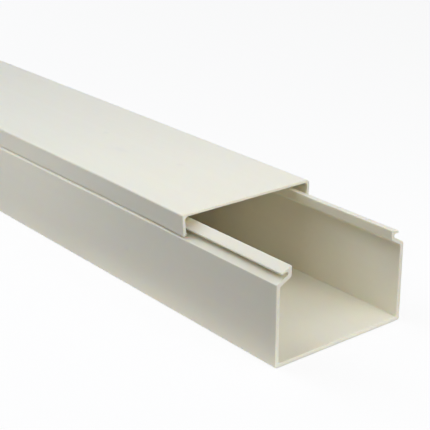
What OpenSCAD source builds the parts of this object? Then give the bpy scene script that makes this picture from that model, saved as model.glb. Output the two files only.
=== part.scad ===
// Cable trunking: a PVC channel with a clip lip along each wall, and its clip-on lid slid back.
// Millimetres. X runs along the length, with the open end at +X. The mounting face is at Z = 0.

/* [Trunking] */
// Stock length of the base and of the lid
stock_length = 1000; // [500:50:3000]
// Width across the outside of the two walls
width = 60; // [50:1:120]
// Height from the mounting face to the top of the lid
height = 40; // [30:1:80]
// Distance that the lid is slid back from the open end
lid_setback = 50; // [0:5:300]

/* [Base] */
// Thickness of the walls, the shoulders and the lip uprights
wall = 1.6; // [1.2:0.1:2.2]
// Thickness of the floor
floor_t = 1.6; // [1.2:0.1:3]
// Radius along the two outer bottom edges
bottom_r = 1; // [0.2:0.1:2]
// Radius in the inside corners, at the floor and under the shoulder
inside_r = 0.4; // [0.1:0.1:2]

/* [Clip lip] */
// Depth of the shoulder's outer edge below the top of the lid
shoulder_depth = 9.35; // [8:0.05:12]
// Angle at which the shoulder rises inwards
shoulder_angle = 27; // [15:0.5:35]
// Radius over the shoulder's outer edge
shoulder_r = 0.35; // [0.1:0.05:2]
// Inset of the lip upright's outer face from the outside of the wall
lip_inset = 5; // [4.6:0.1:7]
// Height of the groove's back between the shoulder and the hook
groove_h = 1.25; // [1:0.05:2]
// Radius in the groove where the shoulder meets the upright
groove_r = 0.9; // [0.1:0.1:1]
// Radius inside the bend from the shoulder to the upright
bend_r = 1.4; // [0.2:0.1:2]
// Reach of the hook out over the groove
hook_reach = 3.1; // [1.5:0.1:3.4]
// Thickness of the hook at its tip
hook_tip_t = 0.75; // [0.6:0.05:1.2]
// Distance that the lower edge of the hook's tip lies behind its upper edge
hook_undercut = 0.2; // [0:0.05:0.5]
// Angle at which the hook's underside falls towards the tip
hook_under_angle = 13; // [0:1:20]
// Angle at which the hook's top rises inwards
hook_top_angle = 21.5; // [5:0.5:30]
// Radius over the upper edge of the hook's tip, which the lid rides over as it is pressed on
hook_nose_r = 0.35; // [0.1:0.05:1]
// Radius on the lower edge of the hook's tip and in its root
hook_r = 0.2; // [0.05:0.05:0.5]
// Radius over the crest of the lip
crest_r = 0.35; // [0.1:0.05:1]

/* [Lid] */
// Thickness of the lid's top plate
plate_t = 0.95; // [0.8:0.05:1.6]
// Thickness of the lid's two skirts
skirt_t = 1.2; // [0.9:0.05:1.6]
// Distance that each skirt stands out past the wall
lid_proud = 0.1; // [0:0.1:1]
// Radius along the two outer top edges of the lid
lid_r = 0.7; // [0.2:0.1:2]
// Radius in the two corners under the lid's plate
lid_inside_r = 0.6; // [0.1:0.1:1.5]
// Width of the slope that leads the outside of the skirt in to its foot
foot_cut = 0.6; // [0.2:0.05:0.8]
// Height of that slope
foot_cut_h = 1.2; // [0.4:0.1:1.6]
// Radius at the upper and lower edges of that slope
foot_r = 0.35; // [0.1:0.05:0.5]
// Distance that the bead reaches in behind the hook's tip
bead_bite = 0.4; // [0.2:0.05:1]
// Thickness of the bead at its nose
bead_t = 0.5; // [0.4:0.05:0.9]
// Angle at which the bead's top falls towards its nose
bead_angle = 35; // [10:1:40]
// Radius on the edges of the bead's nose and in its root
bead_r = 0.25; // [0.05:0.05:0.4]
// Clearance between the shoulder and the lid's foot, which runs parallel to it
clip_gap = 0.3; // [0.1:0.05:0.5]

/* [Hidden] */

pvc_cream = [0.91, 0.905, 0.86];
// Largest angle that one step of a rounded corner turns through
arc_step = 15;
// Largest share of a side that the rounding at one of its ends may take up
side_share = 0.48;

half_w = width / 2;
slope = tan(shoulder_angle);
shoulder_z = height - shoulder_depth;
// Vertical thickness of the sloping shoulder
shoulder_t = wall / cos(shoulder_angle);

// Distances are from the outside of the wall inwards, as insets, then turned into half-widths
tip_inset = lip_inset - hook_reach;
bead_inset = tip_inset + bead_bite;
lip_outer = half_w - lip_inset;
lip_inner = lip_outer - wall;
wall_inner = half_w - wall;
tip_y = half_w - tip_inset;
tip_low_y = tip_y - hook_undercut;
bead_y = half_w - bead_inset;
lid_outer = half_w + lid_proud;
lid_inner = lid_outer - skirt_t;
foot_y = lid_outer - foot_cut;

// Heights of the lip's corners
groove_z = shoulder_top(lip_outer);
hook_root_z = groove_z + groove_h;
tip_low_z = hook_root_z - (tip_low_y - lip_outer) * tan(hook_under_angle);
tip_top_z = tip_low_z + hook_tip_t;
crest_z = tip_top_z + (tip_y - lip_inner) * tan(hook_top_angle);

// Heights of the lid's corners
plate_z = height - plate_t;
bead_low_z = foot_under(bead_y);
bead_top_z = bead_low_z + bead_t;
bead_root_z = bead_top_z + (lid_inner - bead_y) * tan(bead_angle);
foot_z = foot_under(foot_y);

// Height of the shoulder's upper face at a distance y from the middle
function shoulder_top(y) = shoulder_z + (half_w - y) * slope;

// Height of the underside of the lid's foot at a distance y from the middle
function foot_under(y) = shoulder_top(y) + clip_gap / cos(shoulder_angle);

function flat(p) = [p.x, p.y];
function unit(v) = v / norm(v);

// Points that round the corner b, which comes after a and before c; the radius is b.z
function rounded_corner(a, b, c) =
    let (
        to_a = flat(a) - flat(b),
        to_c = flat(c) - flat(b),
        p = unit(to_a),
        q = unit(to_c),
        half_angle = acos(p * q) / 2,
        room = side_share * min(norm(to_a), norm(to_c)),
        tangent = min(b.z / tan(half_angle), room),
        r = tangent * tan(half_angle),
        centre = flat(b) + unit(p + q) * r / cos(90 - half_angle),
        first = flat(b) + p * tangent - centre,
        start = atan2(first.y, first.x),
        sweep = (180 - 2 * half_angle) * sign(cross(q, p)),
        steps = ceil(abs(sweep) / arc_step)
    )
    [for (i = [0 : steps]) centre + r * [cos(start + sweep * i / steps), sin(start + sweep * i / steps)]];

// A closed outline with each corner rounded by its own radius
function rounded(corners) =
    let (n = len(corners))
    [
        for (i = [0 : n - 1])
            each rounded_corner(corners[(i + n - 1) % n], corners[i], corners[(i + 1) % n])
    ];

// The corners of one half, followed by their mirror image in reverse order
function both_halves(half) = concat(half, [for (i = [len(half) - 1 : -1 : 0]) [-half[i].x, half[i].y, half[i].z]]);

// Half of the base's section: up the outside, round the lip, and down the inside
base_half = [
    [half_w, 0, bottom_r],
    [half_w, shoulder_z, shoulder_r],
    [lip_outer, groove_z, groove_r],
    [lip_outer, hook_root_z, hook_r],
    [tip_low_y, tip_low_z, hook_r],
    [tip_y, tip_top_z, hook_nose_r],
    [lip_inner, crest_z, crest_r],
    [lip_inner, shoulder_top(lip_inner) - shoulder_t, bend_r],
    [wall_inner, shoulder_top(wall_inner) - shoulder_t, inside_r],
    [wall_inner, floor_t, inside_r],
];

// Half of the lid's section: down the inside of the skirt, round its bead and foot, and up the outside
lid_half = [
    [lid_inner, plate_z, lid_inside_r],
    [lid_inner, bead_root_z, bead_r],
    [bead_y, bead_top_z, bead_r],
    [bead_y, bead_low_z, bead_r],
    [foot_y, foot_z, foot_r],
    [lid_outer, foot_z + foot_cut_h, foot_r],
    [lid_outer, height, lid_r],
];

// A section drawn across Y and Z, run along X for one stock length from x_start
module extrusion(half, x_start) {
    translate([x_start, 0, 0])
        rotate([90, 0, 90])
            linear_extrude(height = stock_length)
                polygon(rounded(both_halves(half)));
}

module trunking_base() {
    color(pvc_cream)
        extrusion(base_half, -stock_length / 2);
}

module lid() {
    color(pvc_cream)
        extrusion(lid_half, -stock_length / 2 - lid_setback);
}

trunking_base();
lid();
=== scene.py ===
"""Looks of the cable trunking: cream satin PVC in soft studio light, seen from the photo's viewpoint."""
import math

import bpy
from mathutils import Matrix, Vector


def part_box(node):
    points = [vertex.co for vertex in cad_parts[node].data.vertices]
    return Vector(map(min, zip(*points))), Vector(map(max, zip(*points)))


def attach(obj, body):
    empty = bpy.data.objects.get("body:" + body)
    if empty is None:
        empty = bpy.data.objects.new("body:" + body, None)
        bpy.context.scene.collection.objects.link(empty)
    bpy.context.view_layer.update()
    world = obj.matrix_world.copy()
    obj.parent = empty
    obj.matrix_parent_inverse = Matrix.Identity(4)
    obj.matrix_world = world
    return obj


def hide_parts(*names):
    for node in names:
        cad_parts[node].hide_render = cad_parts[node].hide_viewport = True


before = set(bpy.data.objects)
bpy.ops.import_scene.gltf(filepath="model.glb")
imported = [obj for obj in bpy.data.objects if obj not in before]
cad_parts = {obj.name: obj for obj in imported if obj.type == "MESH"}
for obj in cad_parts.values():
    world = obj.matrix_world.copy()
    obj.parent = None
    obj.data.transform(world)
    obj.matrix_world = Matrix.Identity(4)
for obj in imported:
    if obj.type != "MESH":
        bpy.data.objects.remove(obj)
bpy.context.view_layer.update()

BASE = "trunking_base"
LID = "lid"
NEAR_END = Vector((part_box(BASE)[1].x, 0, 0))
MM = 0.001

# Camera, measured from the middle of the base's near end
CAMERA_OFFSET = Vector((0.26801, -0.27081, 0.19751))
CAMERA_AZIMUTH = math.radians(51.258)
CAMERA_ELEVATION = math.radians(21.530)
SENSOR_WIDTH = 36.0
IMAGE_WIDTH = 430
FOCAL_PIXELS = 1214.92
CLIP_START = 0.01

# Sections of the sample in the photo, one side at a time, in mm. Each corner is its distance from
# the middle, its height and its radius. The right side is rounder than the left, and its lip leans in.
BASE_LEFT = [
    (30, 0, 1),  # lower edge of the wall
    (30, 30.8, 0.4),  # shoulder
    (25, 33.2, 0.9),  # groove
    (25, 34.45, 0.2),  # root of the hook
    (27.9, 33.8, 0.2),  # lower edge of the hook's tip
    (28.1, 34.55, 0.35),  # upper edge of the hook's tip
    (23.4, 36.4, 0.35),  # crest of the lip
    (23.4, 32.2, 1.4),  # inside of the bend
    (28.4, 29.65, 0.4),  # under the shoulder
    (28.4, 1.6, 0.4),  # floor
]
BASE_RIGHT = [
    (30, 0, 1),
    (30, 30.6, 1.8),
    (25.15, 33.45, 0.6),
    (25.15, 34.75, 0.25),
    (27.25, 34.75, 0.25),
    (27.05, 35.65, 0.3),
    (23.6, 36.5, 0.4),
    (23.9, 32.55, 1),
    (28.4, 29.9, 1),
    (28.4, 1.6, 0.4),
]
LID_LEFT = [
    (28.7, 39.15, 1.4),  # inside corner under the plate
    (28.1, 33.15, 0.25),  # root of the bead
    (27.6, 32.6, 0.25),  # upper edge of the bead's nose
    (27.6, 32.1, 0.25),  # lower edge of the bead's nose
    (29.3, 31.25, 0.5),  # foot of the skirt
    (29.85, 40.1, 0.6),  # outer corner
]
LID_RIGHT = [
    (29.65, 38.85, 1.5),
    (29.15, 34.2, 0.25),
    (26.85, 33.1, 0.25),
    (26.85, 32.6, 0.25),
    (30.35, 30.85, 0.5),
    (30.85, 40.1, 2.2),
]
ARC_STEP = math.radians(10)
# Largest share of a side that the arc at one of its ends may take up
SIDE_SHARE = 0.48
# Radius that breaks the edges of the saw-cut ends, in mm, and its steps
CUT_EDGE_RADIUS = 0.15
CUT_EDGE_STEPS = 3
# The lid's left skirt springs out towards its near end: how far, in mm, its share of that half-way
# along, and over what length, in metres
LID_FLARE = 0.6
FLARE_HALFWAY = 0.3
FLARE_LENGTH = 0.05

# PVC colours, linear
CREAM = (0.925, 0.886, 0.747, 1)
CREAM_SHADE = (0.918, 0.878, 0.738, 1)
CUT_CREAM = (0.93, 0.90, 0.79, 1)
MARK_GREY = (0.74, 0.73, 0.66, 1)

# Features per metre along X, Y and Z, and detail: cloudy shades, the extrusion's streaks, fine grain
CLOUDS = ((14, 34, 34), 3)
STREAKS = ((1.3, 420, 420), 2)
GRAIN = ((900, 2100, 2100), 1)
STREAK_DEPTH = 0.012 * MM
GRAIN_DEPTH = 0.003 * MM
UNIT_RANGE = (0, 1)
# Weight of the streaks beside the clouds, and the range of their sum that runs from one end to the other
SHADE_STREAKS = 0.6
SHADE_RANGE = (0.6, 1.0)
GLOSS_STREAKS = 0.8
GLOSS_RANGE = (0.6, 1.2)
# Roughness at both ends of that range, and what a saw cut adds to it
ROUGHNESS = (0.38, 0.50)
CUT_ROUGHER = 0.14
# Saw cuts: how squarely a face has to look along X, and the fine lines on it
CUT_FACING = (0.75, 0.95)
SAW_DEPTH = 0.02 * MM
SAW_TILT = math.radians(24)
SAW_WAVE = {"Scale": 430, "Distortion": 2.5, "Detail": 2}
PVC_IOR = 1.53
# Light goes a little way into the PVC, red furthest
SCATTER_RADIUS = (1, 0.85, 0.6)
SCATTER_SCALE = 0.8 * MM

# Faint marks: centre from the near end and half sizes, in mm, and strength
LID_MARKS = [
    ((-146.7, 2.4, 40), (1.7, 1.5, 1), 0.18),
    ((-123.9, -5.6, 40), (5.2, 1.9, 1), 0.15),
    ((-93.9, 1.9, 40), (1.9, 1.6, 1), 0.14),
    ((-251.1, 21.3, 40), (2.4, 1.4, 1), 0.10),
]
BASE_MARKS = [
    ((-85.8, -30, 15.2), (1.6, 1, 1.4), 0.10),
    ((-236, -30, 12), (2.6, 1, 1.6), 0.08),
]
# Share of a mark's half size over which it fades, and how far the grain moves that edge
MARK_FADE = (0.5, 1.3)
MARK_RAGGED = (-0.25, 0.25)

# Soft boxes: distance from the aim, side, and the aim from the near end
BIG_BOX = (1.1, 0.6, Vector((-0.1, 0, 0.02)))
TOP_BOX = (0.3, 0.2, Vector((-0.03, 0, 0.03)))
WARM = (1, 0.94, 0.88)
PALE = (0.92, 0.96, 1)
COOL = (0.82, 0.87, 1)
# Box, azimuth and elevation in degrees, watts and colour
SOFT_BOXES = {
    "end": (BIG_BOX, 0, 30, 4.6, WARM),
    "end_right": (BIG_BOX, 25, 25, 1.9, PALE),
    "back_left": (BIG_BOX, -160, 40, 6.8, COOL),
    "top": (TOP_BOX, 0, 85, 0.13, COOL),
    "top_left": (TOP_BOX, -120, 55, 0.19, PALE),
    "top_right": (TOP_BOX, 60, 55, 0.13, PALE),
}
# Cards on the floor beside the wall and before the near end: middle from that end, size and watts
CARD_HEIGHT = 0.1 * MM
CARD_COLOUR = (1, 0.96, 0.93)
CARDS = {
    "card_near": ((-0.045, -0.035), (0.15, 0.01), 0.0026),
    "card_far": ((-0.2, -0.035), (0.16, 0.01), 0.0023),
    "card_wide": ((-0.2, -0.085), (0.16, 0.05), 0.025),
    "card_end": ((0.0055, 0), (0.01, 0.06), 0.0009),
}
# Lamp over the far half, which the photo doesn't show. Its spread keeps its light off the near half.
FAR_PLACE = Vector((-1.4, 0, 0.6))
FAR_SIZE = (1.2, 0.9)
FAR_WATTS = 1.6
FAR_SPREAD = math.radians(60)

FLOOR_DROP = 0.2 * MM
FLOOR_SIZE = 8.0
FLOOR_COLOUR = (0.50, 0.50, 0.50, 1)
WHITE = (1, 1, 1, 1)
SHADOW_SHARE = 0.10


def add_camera():
    data = bpy.data.cameras.new("camera")
    data.sensor_width = SENSOR_WIDTH
    data.lens = SENSOR_WIDTH * FOCAL_PIXELS / IMAGE_WIDTH
    data.clip_start = CLIP_START
    camera = bpy.data.objects.new("camera", data)
    camera.location = NEAR_END + CAMERA_OFFSET
    camera.rotation_euler = (math.pi / 2 - CAMERA_ELEVATION, 0, CAMERA_AZIMUTH)
    bpy.context.scene.collection.objects.link(camera)
    bpy.context.scene.camera = camera


def add_lamp(name, place, facing, size, watts, colour):
    """A rectangular lamp that shows neither to the camera nor in reflections; place is from the near end."""
    data = bpy.data.lights.new(name, "AREA")
    data.shape = "RECTANGLE"
    data.size, data.size_y = size
    data.energy = watts
    data.color = colour
    lamp = bpy.data.objects.new(name, data)
    lamp.location = NEAR_END + place
    lamp.rotation_euler = facing.to_track_quat("-Z", "Y").to_euler()
    lamp.visible_camera = False
    lamp.visible_glossy = False
    bpy.context.scene.collection.objects.link(lamp)


def add_soft_box(name, box, azimuth, elevation, watts, colour):
    """A square lamp on a dome round its aim, facing it."""
    distance, side, aim = box
    turn = math.radians(azimuth)
    rise = math.radians(elevation)
    level = math.cos(rise)
    outward = Vector((math.cos(turn) * level, math.sin(turn) * level, math.sin(rise)))
    add_lamp(name, aim + distance * outward, -outward, (side, side), watts, colour)


def add_card(name, middle, size, watts):
    """A bright card on the floor, which throws light up the wall or the near end."""
    add_lamp(name, Vector((*middle, CARD_HEIGHT)), Vector((0, 0, 1)), size, watts, CARD_COLOUR)


def add_far_lamp():
    """A wide lamp that looks straight down on the far half, for views and poses that show it."""
    add_lamp("far", FAR_PLACE, Vector((0, 0, -1)), FAR_SIZE, FAR_WATTS, PALE)
    bpy.data.lights["far"].spread = FAR_SPREAD


def add_node(tree, kind, values=None, **settings):
    """A shader node with its settings and the values of its unlinked sockets."""
    node = tree.nodes.new("ShaderNode" + kind)
    for name, value in settings.items():
        setattr(node, name, value)
    for socket, value in (values or {}).items():
        node.inputs[socket].default_value = value
    return node


def calculated(tree, operation, *terms):
    """A sum, product or other operation on fields and numbers."""
    node = add_node(tree, "Math", operation=operation)
    for socket, term in zip(node.inputs, terms):
        if isinstance(term, (int, float)):
            socket.default_value = term
        else:
            tree.links.new(term, socket)
    return node.outputs[0]


def seen_directly(tree):
    """One for camera, glossy and transmission rays, which see the white backdrop, and else zero."""
    rays = add_node(tree, "LightPath").outputs
    first = calculated(tree, "MAXIMUM", rays["Is Camera Ray"], rays["Is Glossy Ray"])
    return calculated(tree, "MAXIMUM", first, rays["Is Transmission Ray"])


def add_world():
    """A white backdrop that lights nothing: the lamps do that."""
    world = bpy.data.worlds.new("studio")
    bpy.context.scene.world = world
    world.use_nodes = True
    tree = world.node_tree
    tree.nodes.clear()
    output = add_node(tree, "OutputWorld")
    backdrop = add_node(tree, "Background", {"Color": WHITE})
    tree.links.new(seen_directly(tree), backdrop.inputs["Strength"])
    tree.links.new(backdrop.outputs[0], output.inputs["Surface"])


def floor_material():
    """White paper to the eye, with a faint shadow, that throws a weaker light back onto the object."""
    material = bpy.data.materials.new("studio_floor")
    material.use_nodes = True
    tree = material.node_tree
    tree.nodes.clear()
    output = add_node(tree, "OutputMaterial")
    bounce = add_node(tree, "BsdfDiffuse", {"Color": FLOOR_COLOUR})
    paper = add_node(tree, "BsdfDiffuse", {"Color": WHITE})
    glow = add_node(tree, "Emission", {"Color": WHITE, "Strength": 1})
    shown = add_node(tree, "MixShader", {"Fac": SHADOW_SHARE})
    mix = add_node(tree, "MixShader")
    tree.links.new(glow.outputs[0], shown.inputs[1])
    tree.links.new(paper.outputs[0], shown.inputs[2])
    tree.links.new(seen_directly(tree), mix.inputs["Fac"])
    tree.links.new(bounce.outputs[0], mix.inputs[1])
    tree.links.new(shown.outputs[0], mix.inputs[2])
    tree.links.new(mix.outputs[0], output.inputs["Surface"])
    return material


def new_object(name, points, faces, material):
    mesh = bpy.data.meshes.new(name)
    mesh.from_pydata(points, [], faces)
    mesh.materials.append(material)
    piece = bpy.data.objects.new(name, mesh)
    bpy.context.scene.collection.objects.link(piece)
    return piece


def add_floor():
    half = FLOOR_SIZE / 2
    corners = [(-half, -half, -FLOOR_DROP), (half, -half, -FLOOR_DROP)]
    corners += [(half, half, -FLOOR_DROP), (-half, half, -FLOOR_DROP)]
    new_object("floor", corners, [(0, 1, 2, 3)], floor_material())


def own_place(tree, mapping):
    """The piece's own coordinates, moved, turned or scaled by a mapping."""
    place = add_node(tree, "TexCoord")
    node = add_node(tree, "Mapping", mapping)
    tree.links.new(place.outputs["Object"], node.inputs["Vector"])
    return node.outputs["Vector"]


def noise(tree, features, detail):
    """Noise with a number of features per metre along X, Y and Z."""
    field = add_node(tree, "TexNoise", {"Scale": 1, "Detail": detail})
    tree.links.new(own_place(tree, {"Scale": features}), field.inputs["Vector"])
    return field.outputs["Fac"]


def mapped(tree, field, before, after):
    """A field taken from one range of values to another, and held inside it."""
    node = add_node(tree, "MapRange")
    node.inputs["From Min"].default_value, node.inputs["From Max"].default_value = before
    node.inputs["To Min"].default_value, node.inputs["To Max"].default_value = after
    tree.links.new(field, node.inputs["Value"])
    return node.outputs["Result"]


def blended(tree, factor, first, second):
    """The first colour, going over to the second colour as the factor rises."""
    node = add_node(tree, "Mix", data_type="RGBA")
    tree.links.new(factor, node.inputs["Factor"])
    colour_inputs = [socket for socket in node.inputs if socket.type == "RGBA"]
    for socket, colour in zip(colour_inputs, (first, second)):
        if isinstance(colour, tuple):
            socket.default_value = colour
        else:
            tree.links.new(colour, socket)
    return next(socket for socket in node.outputs if socket.type == "RGBA")


def cut_mask(tree):
    """One on the saw-cut ends, which face along X, and else zero."""
    place = add_node(tree, "TexCoord")
    parts = add_node(tree, "SeparateXYZ")
    tree.links.new(place.outputs["Normal"], parts.inputs[0])
    return mapped(tree, calculated(tree, "ABSOLUTE", parts.outputs["X"]), CUT_FACING, UNIT_RANGE)


def saw_marks(tree):
    """Fine slanting lines across the ends."""
    lines = add_node(tree, "TexWave", SAW_WAVE, bands_direction="Z")
    tree.links.new(own_place(tree, {"Rotation": (SAW_TILT, 0, 0)}), lines.inputs["Vector"])
    return lines.outputs["Fac"]


def mark_mask(tree, marks, ragged):
    """The strength of the faint marks: soft spots with ragged edges."""
    total = None
    for centre, half, strength in marks:
        middle = NEAR_END / MM + Vector(centre)
        shift = [-c / h for c, h in zip(middle, half)]
        local = own_place(tree, {"Location": shift, "Scale": [1 / (h * MM) for h in half]})
        length = add_node(tree, "VectorMath", operation="LENGTH")
        tree.links.new(local, length.inputs[0])
        distance = calculated(tree, "ADD", length.outputs["Value"], ragged)
        spot = mapped(tree, distance, MARK_FADE, (strength, 0))
        total = spot if total is None else calculated(tree, "ADD", total, spot)
    return total


def add_bump(tree, height, depth, below=None):
    """Bump of a depth, laid over the bump below it."""
    bump = add_node(tree, "Bump", {"Strength": 1, "Distance": depth})
    tree.links.new(height, bump.inputs["Height"])
    if below:
        tree.links.new(below, bump.inputs["Normal"])
    return bump.outputs["Normal"]


def pvc_material(name, marks):
    """Extruded cream PVC: cloudy shades, streaks along the length, faint marks and saw-cut ends."""
    material = bpy.data.materials.new(name)
    material.use_nodes = True
    tree = material.node_tree
    shader = tree.nodes["Principled BSDF"]
    clouds = noise(tree, *CLOUDS)
    streaks = noise(tree, *STREAKS)
    grain = noise(tree, *GRAIN)
    cut = cut_mask(tree)
    saw = calculated(tree, "MULTIPLY", saw_marks(tree), cut)

    shades = calculated(tree, "MULTIPLY_ADD", streaks, SHADE_STREAKS, clouds)
    plain = blended(tree, mapped(tree, shades, SHADE_RANGE, UNIT_RANGE), CREAM, CREAM_SHADE)
    marked_share = mark_mask(tree, marks, mapped(tree, grain, UNIT_RANGE, MARK_RAGGED))
    marked = blended(tree, marked_share, plain, MARK_GREY)
    tree.links.new(blended(tree, cut, marked, CUT_CREAM), shader.inputs["Base Color"])

    sheen = calculated(tree, "MULTIPLY_ADD", streaks, GLOSS_STREAKS, clouds)
    gloss = mapped(tree, sheen, GLOSS_RANGE, ROUGHNESS)
    rough = calculated(tree, "MULTIPLY_ADD", cut, CUT_ROUGHER, gloss)
    tree.links.new(rough, shader.inputs["Roughness"])

    relief = add_bump(tree, streaks, STREAK_DEPTH)
    relief = add_bump(tree, grain, GRAIN_DEPTH, relief)
    relief = add_bump(tree, saw, SAW_DEPTH, relief)
    tree.links.new(relief, shader.inputs["Normal"])
    shader.inputs["IOR"].default_value = PVC_IOR
    shader.inputs["Subsurface Weight"].default_value = 1
    shader.inputs["Subsurface Radius"].default_value = SCATTER_RADIUS
    shader.inputs["Subsurface Scale"].default_value = SCATTER_SCALE
    return material


def whole_section(right, left):
    """The corners of both sides in order round the section; the left side is mirrored."""
    return right + [(-across, up, radius) for across, up, radius in reversed(left)]


def corner_arc(before, corner, after):
    """Points along the arc that rounds a corner."""
    here = Vector(corner[:2])
    back = Vector(before[:2]) - here
    onward = Vector(after[:2]) - here
    half_angle = back.angle(onward) / 2
    reach = min(corner[2] / math.tan(half_angle), SIDE_SHARE * back.length, SIDE_SHARE * onward.length)
    radius = reach * math.tan(half_angle)
    inward = (back.normalized() + onward.normalized()).normalized()
    centre = here + inward * radius / math.sin(half_angle)
    first = here + back.normalized() * reach - centre
    last = here + onward.normalized() * reach - centre
    start = math.atan2(first.y, first.x)
    sweep = (math.atan2(last.y, last.x) - start + math.pi) % math.tau - math.pi
    steps = math.ceil(abs(sweep) / ARC_STEP)
    angles = [start + sweep * step / steps for step in range(steps + 1)]
    return [centre + radius * Vector((math.cos(angle), math.sin(angle))) for angle in angles]


def rounded(corners):
    """A closed outline whose corners are arcs."""
    after = corners[1:] + corners[:1]
    arcs = [corner_arc(corners[i - 1], corner, after[i]) for i, corner in enumerate(corners)]
    return [point for arc in arcs for point in arc]


def drawn_in(outline, distance):
    """The outline moved into the solid, which lies on its left, by a distance."""
    moved = []
    for i, point in enumerate(outline):
        along = (outline[(i + 1) % len(outline)] - outline[i - 1]).normalized()
        moved.append(point + distance * Vector((-along.y, along.x)))
    return moved


def flared(outline, distance):
    """The outline with its left side moved out by a distance."""
    return [Vector((p.x - distance, p.y)) if p.x < 0 else p for p in outline]


def ring(outline, x):
    """The outline's points in metres, at a place along X."""
    return [(x, *(point * MM)) for point in outline]


def end_rings(outline, x, outward):
    """Rings from the flat of a saw-cut end to the full outline, over its rounded edge."""
    rings = []
    for step in range(CUT_EDGE_STEPS + 1):
        angle = math.pi / 2 * step / CUT_EDGE_STEPS
        inset = CUT_EDGE_RADIUS * (1 - math.sin(angle))
        depth = CUT_EDGE_RADIUS * (1 - math.cos(angle)) * MM
        rings.append(ring(drawn_in(outline, inset), x - outward * depth))
    return rings


def extruded(name, outline, x_low, x_high, flare, material):
    """A closed mesh of an outline run along X, with the edges of its two ends broken."""
    rings = end_rings(outline, x_low, -1)
    rings.append(ring(outline, x_high - FLARE_LENGTH))
    rings.append(ring(flared(outline, FLARE_HALFWAY * flare), x_high - FLARE_LENGTH / 2))
    rings += reversed(end_rings(flared(outline, flare), x_high, 1))
    count = len(outline)
    last = (len(rings) - 1) * count
    faces = [tuple(reversed(range(count))), tuple(range(last, last + count))]
    for low in range(0, last, count):
        high = low + count
        faces += [(low + i, low + (i + 1) % count, high + (i + 1) % count, high + i) for i in range(count)]
    return new_object(name, [point for points in rings for point in points], faces, material)


def add_piece(name, node, body, section, material, flare=0):
    """One extrusion, which stands for a node, moves with its body and wears the material it is given."""
    low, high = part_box(node)
    piece = extruded(name, rounded(section), low.x, high.x, flare, material)
    for face in piece.data.polygons:
        face.use_smooth = True
    piece.modifiers.new("normals", "WEIGHTED_NORMAL")
    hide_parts(node)
    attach(piece, body)


bpy.context.scene.view_settings.view_transform = "Standard"
add_camera()
add_world()
for lamp_name, lamp in SOFT_BOXES.items():
    add_soft_box(lamp_name, *lamp)
for card_name, card in CARDS.items():
    add_card(card_name, *card)
add_far_lamp()
add_floor()
base_section = whole_section(BASE_RIGHT, BASE_LEFT)
lid_section = whole_section(LID_RIGHT, LID_LEFT)
base_look = pvc_material("base_look", BASE_MARKS)
lid_look = pvc_material("lid_look", LID_MARKS)
add_piece("base_extrusion", BASE, "base", base_section, base_look)
add_piece("lid_extrusion", LID, "lid", lid_section, lid_look, LID_FLARE)
